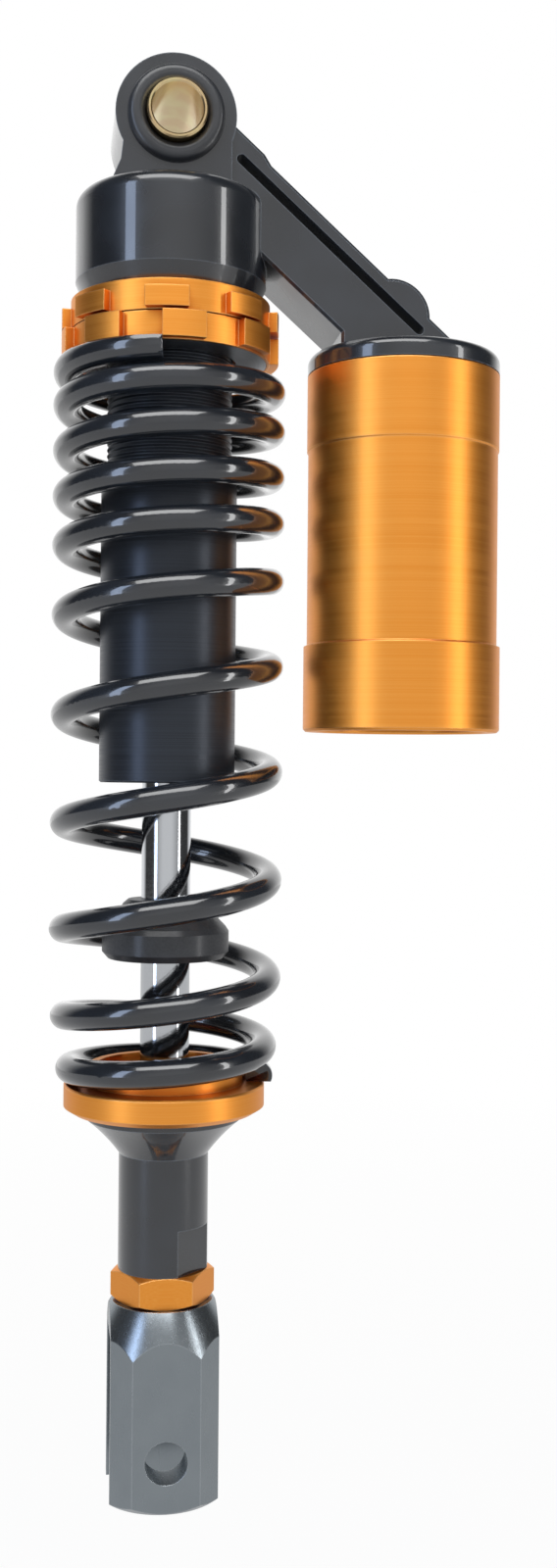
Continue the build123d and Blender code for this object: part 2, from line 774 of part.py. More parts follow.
# ---- reservoir ----
def reservoir_tube():
    """Anodised tube with a slim band between its thicker top and foot."""
    clip_low = end_cap_bottom - end_clip_wire
    clip_r = reservoir_bore_r + end_clip_wire / 2
    lead = 0.35
    points = [
        (reservoir_bore_r, cap_bottom), (reservoir_r - lead, cap_bottom), (reservoir_r, cap_bottom - lead),
        (reservoir_r, reservoir_step_a), (reservoir_band_r, reservoir_step_a - lead),
        (reservoir_band_r, reservoir_step_b + lead), (reservoir_foot_r, reservoir_step_b),
        (reservoir_foot_r, reservoir_bottom + 0.6), (reservoir_foot_r - 0.6, reservoir_bottom),
        (reservoir_bore_r + 0.4, reservoir_bottom), (reservoir_bore_r, reservoir_bottom + 0.4),
        (reservoir_bore_r, clip_low), (clip_r, clip_low), (clip_r, end_cap_bottom),
        (reservoir_bore_r, end_cap_bottom),
    ]
    return turned(points, reservoir_x)


def reservoir_end_cap():
    outer = reservoir_bore_r - seated
    groove = outer - seal_groove
    middle = (end_cap_top + end_cap_bottom) / 2
    hole = gas_valve_r + seated
    points = [
        (hole, end_cap_bottom), (outer, end_cap_bottom), (outer, middle - 1), (groove, middle - 1),
        (groove, middle + 1), (outer, middle + 1), (outer, end_cap_top), (hole, end_cap_top),
    ]
    return turned(points, reservoir_x)


def end_cap_clip():
    """Open wire ring that keeps the end cap in against the gas pressure."""
    level = end_cap_bottom - end_clip_wire / 2
    ring = o_ring(reservoir_bore_r + end_clip_wire / 2 - seated, end_clip_wire - 2 * seated, level, reservoir_x)
    return ring - Pos(reservoir_x + reservoir_bore_r, 0, level) * Box(8, 6, 4)


def floating_piston():
    """Cup that keeps the gas below it apart from the oil above."""
    bottom = floating_piston_top - floating_piston_height
    outer = reservoir_bore_r - running
    middle = (floating_piston_top + bottom) / 2
    groove = outer - seal_groove
    inner = outer - floating_piston_skin - 1
    points = [
        (0, floating_piston_top), (outer, floating_piston_top), (outer, middle + 1), (groove, middle + 1),
        (groove, middle - 1), (outer, middle - 1), (outer, bottom), (inner, bottom),
        (inner, floating_piston_top - floating_piston_skin), (0, floating_piston_top - floating_piston_skin),
    ]
    return turned(points, reservoir_x)


def groove_seal(bore, level, x=0.0):
    """The O-ring for a two-millimetre groove in a piston or plug of the given bore."""
    return o_ring(bore - seated, seal_groove - 2 * seated, level, x)


def gas_valve_body():
    """Filling valve through the end cap, with a flange under it."""
    flange_bottom = end_cap_bottom - 1.5
    foot = end_cap_bottom - gas_valve_drop
    points = [
        (gas_valve_bore_r, foot), (gas_valve_r - 0.3, foot), (gas_valve_r - 0.3, flange_bottom),
        (gas_valve_flange_r, flange_bottom), (gas_valve_flange_r, end_cap_bottom),
        (gas_valve_r, end_cap_bottom), (gas_valve_r, end_cap_top + gas_valve_stub - 0.5),
        (gas_valve_r - 0.5, end_cap_top + gas_valve_stub), (gas_valve_bore_r, end_cap_top + gas_valve_stub),
    ]
    return turned(points, reservoir_x)


def gas_valve_core():
    """Spring valve that a pump's pin pushes in."""
    foot = end_cap_bottom - gas_valve_drop + 0.8
    points = [
        (0, foot), (gas_core_r * 0.6, foot), (gas_core_r * 0.6, foot + 2), (gas_valve_bore_r - seated, foot + 2),
        (gas_valve_bore_r - seated, foot + 7), (gas_core_r, foot + 8), (gas_core_r, end_cap_top), (0, end_cap_top),
    ]
    return turned(points, reservoir_x)


def gas_valve_cap():
    """Screw cap over the filling valve."""
    top = end_cap_bottom - 1.8
    bottom = top - gas_cap_height
    roof = end_cap_bottom - gas_valve_drop - 0.1
    points = [
        (0, bottom), (gas_cap_r - 0.6, bottom), (gas_cap_r, bottom + 0.6), (gas_cap_r, top),
        (gas_valve_r - 0.3 + seated, top), (gas_valve_r - 0.3 + seated, roof), (0, roof),
    ]
    return turned(points, reservoir_x)


nodes = {
    "head_casting": head_casting(),
    "eye_bush": eye_bush(),
    "eye_sleeve": eye_sleeve(),
    "passage_plug": passage_plug(),
    "damper_tube": damper_tube(),
    "base_valve": base_valve(),
    "rod_guide": rod_guide(),
    "guide_bush": guide_ring(guide_bush_r, guide_bush_height, guide_bottom + wiper_height + oil_seal_height),
    "rod_oil_seal": guide_ring(oil_seal_r, oil_seal_height, guide_bottom + wiper_height),
    "dust_wiper": dust_wiper(),
    "guide_o_ring": groove_seal(damper_bore_r, guide_bottom + guide_height / 2),
    "guide_clip": guide_clip(),
    "top_out_bumper": top_out_bumper(),
    "reservoir_tube": reservoir_tube(),
    "reservoir_cap_o_ring": groove_seal(reservoir_bore_r, (cap_bottom + spigot_bottom) / 2, reservoir_x),
    "reservoir_end_cap": reservoir_end_cap(),
    "end_cap_o_ring": groove_seal(reservoir_bore_r, (end_cap_top + end_cap_bottom) / 2, reservoir_x),
    "end_cap_clip": end_cap_clip(),
    "gas_valve_body": gas_valve_body(),
    "gas_valve_core": gas_valve_core(),
    "gas_valve_cap": gas_valve_cap(),
    "floating_piston": floating_piston(),
    "floating_piston_o_ring": groove_seal(
        reservoir_bore_r, floating_piston_top - floating_piston_height / 2, reservoir_x
    ),
    "thrust_washer": thrust_washer(),
    "main_spring": main_spring(),
    "preload_ring": preload_ring(),
    "lock_ring": lock_ring(),
    "lower_spring_seat": lower_spring_seat(),
    "damper_rod": damper_rod(),
    "piston": piston(),
    "piston_band": piston_band(),
    "compression_shims": shim_stack(piston_top, 1),
    "rebound_shims": shim_stack(piston_bottom, -1),
    "piston_nut": piston_nut(),
    "rod_collar": rod_collar(),
    "lower_boss": lower_boss(),
    "bump_stop": bump_stop(),
    "clevis_lock_nut": clevis_lock_nut(),
    "clevis": clevis(),
}

os.makedirs("parts", exist_ok=True)
for name, shape in nodes.items():
    export_step(shape, f"parts/{name}.step")
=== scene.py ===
"""Finishes, spring and studio for a coil-over shock absorber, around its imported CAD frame."""

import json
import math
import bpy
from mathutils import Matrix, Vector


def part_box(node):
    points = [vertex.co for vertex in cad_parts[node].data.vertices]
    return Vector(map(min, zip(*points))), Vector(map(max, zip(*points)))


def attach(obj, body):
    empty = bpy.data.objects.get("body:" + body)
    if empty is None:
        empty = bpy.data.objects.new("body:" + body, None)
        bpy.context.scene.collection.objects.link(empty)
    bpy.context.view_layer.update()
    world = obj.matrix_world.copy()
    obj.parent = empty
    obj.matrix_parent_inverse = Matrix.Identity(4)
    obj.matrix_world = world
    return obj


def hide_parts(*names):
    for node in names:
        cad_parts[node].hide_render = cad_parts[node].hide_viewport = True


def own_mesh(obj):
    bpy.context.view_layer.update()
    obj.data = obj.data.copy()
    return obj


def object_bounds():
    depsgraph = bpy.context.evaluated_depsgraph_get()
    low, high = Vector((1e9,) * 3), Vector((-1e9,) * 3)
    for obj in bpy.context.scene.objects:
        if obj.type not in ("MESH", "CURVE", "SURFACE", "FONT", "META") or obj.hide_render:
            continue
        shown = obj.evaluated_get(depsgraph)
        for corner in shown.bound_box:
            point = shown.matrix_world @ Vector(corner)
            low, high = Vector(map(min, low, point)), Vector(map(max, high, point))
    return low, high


bl_info = {
    "name": "Coil-over Shock Absorber",
    "version": (1, 0, 0),
    "blender": (4, 5, 0),
    "location": "3D Viewport > Sidebar > Shock",
    "description": "Builds the spring, the finishes and the studio of a coil-over shock absorber",
    "category": "Object",
}

import bpy
from mathutils import Euler, Vector

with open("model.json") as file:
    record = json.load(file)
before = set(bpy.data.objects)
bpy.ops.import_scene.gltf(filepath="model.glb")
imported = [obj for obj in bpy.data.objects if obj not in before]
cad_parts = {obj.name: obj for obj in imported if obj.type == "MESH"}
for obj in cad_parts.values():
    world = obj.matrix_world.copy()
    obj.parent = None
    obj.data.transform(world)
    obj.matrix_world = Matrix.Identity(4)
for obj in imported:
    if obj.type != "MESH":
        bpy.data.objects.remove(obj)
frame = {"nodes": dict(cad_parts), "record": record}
cad_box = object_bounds()

MM = 0.001

MERGE_DISTANCE = 0.001 * MM
SMOOTH_ANGLE = math.radians(30)

BEVEL_SAMPLES = 4
RECESS_SAMPLES = 6
NOISE_SPAN = (0.3, 0.7)  # nearly all of a noise lies between these
MASK_SPAN = (0, 1)

# The Mix node has sockets for each type of value, and these are its colours.
MIX_UNDER, MIX_OVER, MIX_RESULT = 6, 7, 2


# ---- where things are, read from the frame ----
def centre_of(node):
    """The middle of a CAD node's box."""
    low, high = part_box(node)
    return (low + high) / 2


damper_axis = centre_of("damper_tube")
reservoir_axis = centre_of("reservoir_tube")
foot = cad_box[0].z
middle = (cad_box[0] + cad_box[1]) / 2


# ---- sizes and colours ----
def srgb(text):
    """A hex colour as linear red, green and blue."""
    parts = [int(text[i:i + 2], 16) / 255 for i in (0, 2, 4)]
    return tuple(p / 12.92 if p <= 0.04045 else ((p + 0.055) / 1.055) ** 2.4 for p in parts)


def colour(name, text, description):
    """A colour property whose default is a hex colour."""
    return bpy.props.FloatVectorProperty(
        name=name, description=description, default=srgb(text), subtype="COLOR", size=3, min=0, max=1
    )


def length(name, millimetres, description):
    """A length property whose default is given in millimetres."""
    return bpy.props.FloatProperty(
        name=name, description=description, default=millimetres * MM, unit="LENGTH", min=0
    )


def share(name, value, description):
    """A property from 0 to 1."""
    return bpy.props.FloatProperty(
        name=name, description=description, default=value, min=0, max=1, subtype="FACTOR"
    )


def power(name, watts, description):
    """A lamp's power in watts."""
    return bpy.props.FloatProperty(
        name=name, description=description, default=watts, min=0, unit="POWER"
    )


class ShockColours(bpy.types.PropertyGroup):
    """The colours that the shock absorber can be ordered in, with the pale edge tones that also serve as
    painted highlights and the painted shade of the slots.
    """

    enamel: colour("Enamel", "15181D", "Gloss black enamel of the castings and the spring")
    enamel_patch: colour("Enamel patches", "20262F", "The same enamel where it lies a little thinner")
    # A pale tone for enamel that runs thin over an edge, and a painted highlight for the light a rounded
    # edge catches.
    enamel_thin_edge_and_highlight: colour("Enamel edge", "6C7580", "Enamel where it runs thin over an edge")
    anodised: colour("Anodised", "F0983C", "Dyed anodic layer of the rings, seat and reservoir")
    anodised_light: colour("Anodised, light", "FAB75E", "The dye's lighter tone along turning lines")
    # The paler line of a tool-broken edge, and a painted highlight for the light that edge catches.
    dyed_edge_and_highlight: colour("Anodised edge", "FBC680", "Paler line where a tool broke an edge")
    # Painted shade: a deep red-brown that the dyed parts are darkened towards inside slots and recesses,
    # where shade falls.
    anodised_painted_shade: colour("Anodised recess", "B5480F", "The dye's deeper tone inside slots")
    black_anodised: colour("Black anodised", "2A2E35", "Damper tube and reservoir cap")
    black_anodised_light: colour("Black anodised, light", "3A4049", "The same along turning lines")
    # A broken edge's lighter tone, and a painted highlight for the light that edge catches.
    black_layer_edge_and_highlight: colour("Black anodised edge", "7C858F", "The same on a broken edge")
    rubber: colour("Rubber", "191B1F", "Eye bush, bump stop and seals")
    rubber_bloom: colour("Rubber bloom", "4A4E55", "Grey bloom that comes out on rubber")
    gold_zinc: colour("Yellow zinc", "D6C595", "Plated sleeve in the upper eye")
    gold_zinc_tint: colour("Yellow zinc tint", "C99E7C", "Pinkish bands in the same plating")
    zinc: colour("Clear zinc", "B4B8BD", "Shims, washers and clips")
    zinc_tint: colour("Clear zinc tint", "9FA5AD", "Bluish bands in the same plating")
    aluminium: colour("Aluminium", "C6C8CB", "Bare turned aluminium inside")
    aluminium_tint: colour("Aluminium tint", "B9BBBE", "Duller bands in the same metal")
    bronze: colour("Bronze", "A47B4B", "Sintered guide bush")
    bronze_tint: colour("Bronze tint", "8C6437", "Browner bands in the same metal")
    brass: colour("Brass", "CDA552", "Gas valve")
    brass_tint: colour("Brass tint", "B88F3F", "Darker bands in the same metal")
    ptfe: colour("Filled PTFE", "59462F", "Piston band")
    ptfe_tint: colour("Filled PTFE tint", "3F3324", "Darker bands in the same band")
    chrome: colour("Chrome", "C9CCD0", "Damper rod")
    fork: colour("Black plating", "868D92", "Fork-shaped clevis")
    fork_light: colour("Black plating, light", "92999D", "Lighter clouds in the same plating")
    # Plating worn on an edge, and a painted highlight for the light that edge catches.
    fork_worn_edge_and_highlight: colour("Black plating edge", "B4BABF", "The same where it is worn on an edge")


class ShockSizes(bpy.types.PropertyGroup):
    """Real sizes of the marks that each finish shows."""

    edge_width: length("Edge width", 0.35, "Width of the line that catches light on a broken edge")
    casting_grain: length("Casting grain", 1.6, "Size of the soft unevenness under the enamel")
    casting_relief: length("Casting relief", 0.006, "Depth of that unevenness")
    enamel_patch: length("Enamel patch", 14, "Size of the patches where the enamel lies thinner")
    tool_pitch: length("Tool pitch", 0.28, "Distance between turning lines, coarse enough to show")
    turned_relief: length("Turned relief", 0.006, "Depth of the turning lines in bare and plated metal")
    dyed_relief: length("Dyed relief", 0.0012, "Depth of the turning lines under the dye")
    black_relief: length("Black relief", 0.005, "Depth of the turning lines under the black layer")
    recess_reach: length("Recess reach", 4, "Distance over which a wall shades a slot")
    metal_band: length("Metal band", 6, "Size of the soft bands in bare and plated metal")
    rubber_grain: length("Rubber grain", 0.5, "Size of the mould's fine grain")
    rubber_relief: length("Rubber relief", 0.012, "Depth of that grain")
    bloom_patch: length("Bloom patch", 9, "Size of the patches of bloom on rubber")
    grinding_pitch: length("Grinding pitch", 0.15, "Distance between grinding lines, coarsened to show")
    grinding_relief: length("Grinding relief", 0.001, "Depth of the grinding lines")
    cutter_streak: length("Cutter streak", 0.5, "Width of the streaks that the milling cutter leaves")
    cutter_relief: length("Cutter relief", 0.0015, "Depth of those streaks")
    plating_cloud: length("Plating cloud", 8, "Size of the lighter clouds in the black plating")
    spring_keep: share("Spring keep", 0.716, "Share of its length the spring keeps at full travel")


class ShockStudio(bpy.types.PropertyGroup):
    """Camera, lamps, room and floor."""

    lens: bpy.props.FloatProperty(
        name="Lens", description="Focal length in millimetres",
        default=37.13, min=10, max=200, unit="CAMERA"
    )
    lens_shift: bpy.props.FloatProperty(
        name="Lens shift", description="Upward shift of the lens, as a share of the longer side",
        default=-0.0094, min=-1, max=1
    )
    camera_yaw: bpy.props.FloatProperty(
        name="Camera yaw", description="Turn of the camera to the right",
        default=math.radians(8.5), subtype="ANGLE"
    )
    camera_roll: bpy.props.FloatProperty(
        name="Camera roll", description="Lean of the camera", default=math.radians(0.5), subtype="ANGLE"
    )
    camera_place: bpy.props.FloatVectorProperty(
        name="Camera place", description="Where the camera stands",
        default=(-0.0316, -0.3967, -0.156), subtype="TRANSLATION", size=3
    )
    left_power: power("Left box", 4.0, "Power of the tall soft box on the left")
    right_power: power("Right box", 2.2, "Power of the narrow soft box on the right")
    top_power: power("Top box", 7.0, "Power of the wide soft box overhead")
    cool_light: colour("Cool light", "BFD2F2", "Bluish light of the box on the left")
    plain_light: colour("Plain light", "FFFFFF", "White light of the other boxes")
    ambient: share("Ambient light", 0.55, "Strength of the light from all round")
    floor_drop: length("Floor drop", 100, "Height of the foot of the shock over the floor")
    floor_radius: length("Floor radius", 2500, "Radius of the pale floor")
    floor_white: colour("Floor", "F2F2F2", "Matte white paint of the floor")


def props():
    """The three groups of this scene."""
    scene = bpy.context.scene
    return scene.shock_colours, scene.shock_sizes, scene.shock_studio


# ---- shader helpers ----
def add(tree, kind, settings=None, values=None, links=None):
    """Adds a node with its settings, its free sockets' values and its linked sockets' sources."""
    node = tree.nodes.new(kind)
    for name, value in (settings or {}).items():
        setattr(node, name, value)
    for name, value in (values or {}).items():
        node.inputs[name].default_value = value
    for name, source in (links or {}).items():
        tree.links.new(source, node.inputs[name])
    return node


def new_material(name):
    """A material, its tree, its Principled shader and its Object coordinates."""
    material = bpy.data.materials.new(name)
    material.use_nodes = True
    tree = material.node_tree
    shader = tree.nodes["Principled BSDF"]
    place = add(tree, "ShaderNodeTexCoord").outputs["Object"]
    return material, tree, shader, place


def set_shader(shader, **values):
    """Sets the shader's own sockets, named with underscores."""
    for name, value in values.items():
        shader.inputs[name.replace("_", " ")].default_value = value


def marks(tree, place, size, detail=2.0, stretch=(1, 1, 1)):
    """Uneven marks about size across, drawn out along an axis where stretch is under 1."""
    spread = add(tree, "ShaderNodeMapping", values={"Scale": stretch}, links={"Vector": place})
    return add(
        tree, "ShaderNodeTexNoise", values={"Scale": 1 / size, "Detail": detail},
        links={"Vector": spread.outputs[0]}
    ).outputs["Fac"]


def turning_lines(tree, place, axis, pitch):
    """Rings about an upright axis through that point, on flat faces and round sides alike."""
    centred = add(
        tree, "ShaderNodeVectorMath", {"operation": "SUBTRACT"}, {1: tuple(axis)}, {0: place}
    ).outputs[0]
    flat = add(tree, "ShaderNodeVectorMath", {"operation": "MULTIPLY"}, {1: (1, 1, 0)}, {0: centred})
    radius = add(tree, "ShaderNodeVectorMath", {"operation": "LENGTH"}, links={0: flat.outputs[0]})
    height = add(tree, "ShaderNodeSeparateXYZ", links={0: centred}).outputs["Z"]
    section = add(tree, "ShaderNodeCombineXYZ", links={"X": radius.outputs["Value"], "Z": height})
    return marks(tree, section.outputs[0], pitch, detail=3)


# The finishes lighten edges through this mask, partly for edge wear and partly as a painted highlight.
def edge_wear_and_highlight_mask(tree, width):
    """1 where a bevel of that width would round an edge, and 0 on open ground."""
    rounded = add(tree, "ShaderNodeBevel", {"samples": BEVEL_SAMPLES}, {"Radius": width}).outputs[0]
    straight = add(tree, "ShaderNodeNewGeometry").outputs["Normal"]
    agreement = add(
        tree, "ShaderNodeVectorMath", {"operation": "DOT_PRODUCT"}, links={0: rounded, 1: straight}
    ).outputs["Value"]
    open_ground, on_edge = 0.999, 0.93
    return add(
        tree, "ShaderNodeMapRange", values={"From Min": open_ground, "From Max": on_edge},
        links={"Value": agreement}
    ).outputs["Result"]


def feed_colour(tree, socket, source):
    """Links a colour socket to its source, or sets it to a plain colour."""
    if isinstance(source, bpy.types.NodeSocket):
        tree.links.new(source, socket)
    else:
        socket.default_value = (*source, 1)


def lay_over(tree, under, over, pattern, span, most):
    """Lays a colour over a colour or a socket, growing to its most as the pattern crosses its span."""
    start, end = span
    amount = add(
        tree, "ShaderNodeMapRange", values={"From Min": start, "From Max": end, "To Max": most},
        links={"Value": pattern}
    ).outputs["Result"]
    mix = add(tree, "ShaderNodeMix", {"data_type": "RGBA"}, {MIX_OVER: (*over, 1)}, {"Factor": amount})
    feed_colour(tree, mix.inputs[MIX_UNDER], under)
    return mix.outputs[MIX_RESULT]


def finish_shader(tree, shader, skin, pattern, smooth, rough):
    """Gives the shader its colour, and a roughness that follows a pattern from smooth to rough."""
    low, high = NOISE_SPAN
    roughness = add(
        tree, "ShaderNodeMapRange",
        values={"From Min": low, "From Max": high, "To Min": smooth, "To Max": rough},
        links={"Value": pattern}
    ).outputs["Result"]
    feed_colour(tree, shader.inputs["Base Color"], skin)
    tree.links.new(roughness, shader.inputs["Roughness"])


def relief(tree, shader, height, depth, width=None):
    """Gives the shader relief of that depth, over edges rounded by width where there is one."""
    node = add(
        tree, "ShaderNodeBump", values={"Distance": depth, "Strength": 1.0}, links={"Height": height}
    )
    if width:
        rounded = add(tree, "ShaderNodeBevel", {"samples": BEVEL_SAMPLES}, {"Radius": width}).outputs[0]
        tree.links.new(rounded, node.inputs["Normal"])
    tree.links.new(node.outputs[0], shader.inputs["Normal"])


def paint(node, material):
    """Puts a material on a CAD node or a piece as its only one."""
    node.data.materials.clear()
    node.data.materials.append(material)


def nodes_in(slot):
    """The CAD nodes of one of the record's material slots."""
    names = [s["node"] for s in frame["record"]["subparts"] if s["material_slot"] == slot]
    if not names:
        raise RuntimeError(f"no node takes its finish from {slot}")
    return [frame["nodes"][name] for name in names]


def paint_slot(slot, material):
    """Puts a material on every CAD node of a slot."""
    for node in nodes_in(slot):
        paint(node, material)


# ---- finishes ----
def enamel(name, roughness):
    """Stoved gloss enamel: a hard clear skin over a slightly uneven ground, thin on edges, which are
    paled both for the thin enamel and as a painted highlight.
    """
    colours, sizes, _ = props()
    material, tree, shader, place = new_material(name)
    patches = marks(tree, place, sizes.enamel_patch)
    ground = lay_over(tree, colours.enamel, colours.enamel_patch, patches, span=(0.35, 0.65), most=0.35)
    # Painted highlight, together with the thinner enamel: every edge is lightened towards the pale edge
    # colour.
    edges = edge_wear_and_highlight_mask(tree, sizes.edge_width)
    skin = lay_over(tree, ground, colours.enamel_thin_edge_and_highlight, edges, MASK_SPAN, most=0.75)
    finish_shader(tree, shader, skin, patches, smooth=0.85 * roughness, rough=1.2 * roughness)
    set_shader(shader, Metallic=0.0, IOR=1.5, Coat_Weight=1.0, Coat_Roughness=0.04, Coat_IOR=1.5)
    uneven = marks(tree, place, sizes.casting_grain, detail=3)
    relief(tree, shader, uneven, sizes.casting_relief, sizes.edge_width)
    return material


def dyed_anodising(name, axis):
    """Bright dyed anodising on turned aluminium: rings in the metal, broken edges paled both where the
    tool cut them and as a painted highlight, and painted shade darkening the slots.
    """
    colours, sizes, _ = props()
    material, tree, shader, place = new_material(name)
    lines = turning_lines(tree, place, axis, sizes.tool_pitch)
    metal = lay_over(tree, colours.anodised, colours.anodised_light, lines, NOISE_SPAN, most=0.35)
    # Painted shade: ambient occlusion darkens the dye towards the recess colour where nearby walls close
    # in round a slot.
    open_sky = add(
        tree, "ShaderNodeAmbientOcclusion", {"samples": RECESS_SAMPLES}, {"Distance": sizes.recess_reach}
    ).outputs["AO"]
    shaded = lay_over(tree, metal, colours.anodised_painted_shade, open_sky, span=(0.75, 0.25), most=0.85)
    # Painted highlight, together with the tool-broken edge: every edge is lightened towards the pale
    # edge colour.
    edges = edge_wear_and_highlight_mask(tree, sizes.edge_width)
    skin = lay_over(tree, shaded, colours.dyed_edge_and_highlight, edges, MASK_SPAN, most=0.8)
    finish_shader(tree, shader, skin, lines, smooth=0.36, rough=0.44)
    set_shader(shader, Metallic=1.0)
    relief(tree, shader, lines, sizes.dyed_relief, sizes.edge_width)
    return material


def black_anodising(name, axis):
    """Satin black anodising: still metal underneath, with turning lines that run round it."""
    colours, sizes, _ = props()
    material, tree, shader, place = new_material(name)
    lines = turning_lines(tree, place, axis, sizes.tool_pitch)
    metal = lay_over(
        tree, colours.black_anodised, colours.black_anodised_light, lines, NOISE_SPAN, most=0.5
    )
    # Painted highlight, together with the broken edge: every edge is lightened towards the pale edge
    # colour.
    edges = edge_wear_and_highlight_mask(tree, sizes.edge_width)
    skin = lay_over(tree, metal, colours.black_layer_edge_and_highlight, edges, MASK_SPAN, most=0.6)
    finish_shader(tree, shader, skin, lines, smooth=0.3, rough=0.42)
    set_shader(shader, Metallic=0.55)
    relief(tree, shader, lines, sizes.black_relief, sizes.edge_width)
    return material


def rubber(name, roughness, bloom):
    """Moulded black rubber: a fine even grain, and a faint bloom that greys it in patches."""
    colours, sizes, _ = props()
    material, tree, shader, place = new_material(name)
    patches = marks(tree, place, sizes.bloom_patch, detail=4)
    skin = lay_over(tree, colours.rubber, colours.rubber_bloom, patches, span=(0.35, 0.7), most=bloom)
    grain = marks(tree, place, sizes.rubber_grain, detail=1)
    finish_shader(tree, shader, skin, grain, smooth=0.9 * roughness, rough=1.15 * roughness)
    set_shader(shader, Metallic=0.0, IOR=1.52, Coat_Weight=0.35, Coat_Roughness=0.22)
    relief(tree, shader, grain, sizes.rubber_relief)
    return material


def turned_metal(name, tint, second_tint, roughness):
    """Bare or plated metal as turned: rings that run round it and a second tone in soft bands."""
    _, sizes, _ = props()
    material, tree, shader, place = new_material(name)
    lines = turning_lines(tree, place, damper_axis, sizes.tool_pitch)
    bands = marks(tree, place, sizes.metal_band, detail=1)
    skin = lay_over(tree, tint, second_tint, bands, span=(0.4, 0.62), most=0.4)
    finish_shader(tree, shader, skin, lines, smooth=0.8 * roughness, rough=1.25 * roughness)
    set_shader(shader, Metallic=1.0)
    relief(tree, shader, lines, sizes.turned_relief)
    return material


def ground_chrome(name):
    """Hard chrome, ground and polished: a mirror with the finest rings round it."""
    colours, sizes, _ = props()
    material, tree, shader, place = new_material(name)
    lines = marks(tree, place, sizes.grinding_pitch, stretch=(0.03, 0.03, 1))
    finish_shader(tree, shader, colours.chrome, lines, smooth=0.05, rough=0.12)
    set_shader(shader, Metallic=1.0)
    relief(tree, shader, lines, sizes.grinding_relief)
    return material


def black_plating(name):
    """Black zinc plating on milled steel: satin, faintly streaked along the cutter's way."""
    colours, sizes, _ = props()
    material, tree, shader, place = new_material(name)
    clouds = marks(tree, place, sizes.plating_cloud)
    metal = lay_over(tree, colours.fork, colours.fork_light, clouds, NOISE_SPAN, most=0.4)
    # Painted highlight, together with wear: every edge is lightened towards the pale edge colour.
    edges = edge_wear_and_highlight_mask(tree, sizes.edge_width)
    skin = lay_over(tree, metal, colours.fork_worn_edge_and_highlight, edges, MASK_SPAN, most=0.8)
    streaks = marks(tree, place, sizes.cutter_streak, detail=3, stretch=(1, 1, 0.08))
    finish_shader(tree, shader, skin, streaks, smooth=0.22, rough=0.28)
    set_shader(shader, Metallic=0.95)
    relief(tree, shader, streaks, sizes.cutter_relief, sizes.edge_width)
    return material


# ---- pieces ----
class SHOCK_OT_spring(bpy.types.Operator):
    """Makes the coil spring from a merged copy of the CAD spring, hangs it on the spring top and enamels
    it
    """

    bl_idname = "shock.spring"
    bl_label = "Coil spring"

    def execute(self, context):
        source = frame["nodes"]["main_spring"]
        spring = bpy.data.objects.new("coil_spring", source.data.copy())
        context.scene.collection.objects.link(spring)
        bpy.ops.object.select_all(action="DESELECT")
        spring.select_set(True)
        context.view_layer.objects.active = spring
        bpy.ops.object.mode_set(mode="EDIT")
        bpy.ops.mesh.select_all(action="SELECT")
        bpy.ops.mesh.remove_doubles(threshold=MERGE_DISTANCE)
        bpy.ops.object.mode_set(mode="OBJECT")
        bpy.ops.object.shade_smooth_by_angle(angle=SMOOTH_ANGLE)
        paint(spring, enamel("Gloss enamel on spring steel", roughness=0.2))
        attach(spring, "spring_top")
        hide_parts("main_spring")
        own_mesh(spring)
        return {"FINISHED"}


class SHOCK_OT_castings(bpy.types.Operator):
    """Enamels the head casting and the lower boss"""

    bl_idname = "shock.castings"
    bl_label = "Enamelled castings"

    def execute(self, context):
        paint_slot("black_casting", enamel("Gloss enamel on cast aluminium", roughness=0.28))
        return {"FINISHED"}


class SHOCK_OT_anodised(bpy.types.Operator):
    """Anodises the rings, the lower seat, the lock nut, the reservoir, the damper tube and its caps"""

    bl_idname = "shock.anodised"
    bl_label = "Anodised parts"

    def execute(self, context):
        # Turning lines run about the axis that a part was turned on, so each axis has its own finish.
        on_damper = dyed_anodising("Dyed anodising turned about the damper", damper_axis)
        on_reservoir = dyed_anodising("Dyed anodising turned about the reservoir", reservoir_axis)
        paint_slot("orange_anodised", on_damper)
        paint(frame["nodes"]["reservoir_tube"], on_reservoir)
        black_damper = black_anodising("Black anodising turned about the damper", damper_axis)
        black_reservoir = black_anodising("Black anodising turned about the reservoir", reservoir_axis)
        paint_slot("black_anodised", black_reservoir)
        paint(frame["nodes"]["damper_tube"], black_damper)
        return {"FINISHED"}


class SHOCK_OT_rubber_parts(bpy.types.Operator):
    """Finishes the eye bush, the bump stop and the seals"""

    bl_idname = "shock.rubber_parts"
    bl_label = "Rubber parts"

    def execute(self, context):
        paint_slot("bush_rubber", rubber("Satin moulded rubber", roughness=0.4, bloom=0.15))
        paint_slot("stop_rubber", rubber("Matte foamed rubber", roughness=0.6, bloom=0.35))
        paint_slot("seal_rubber", rubber("Smooth nitrile rubber", roughness=0.35, bloom=0.05))
        return {"FINISHED"}


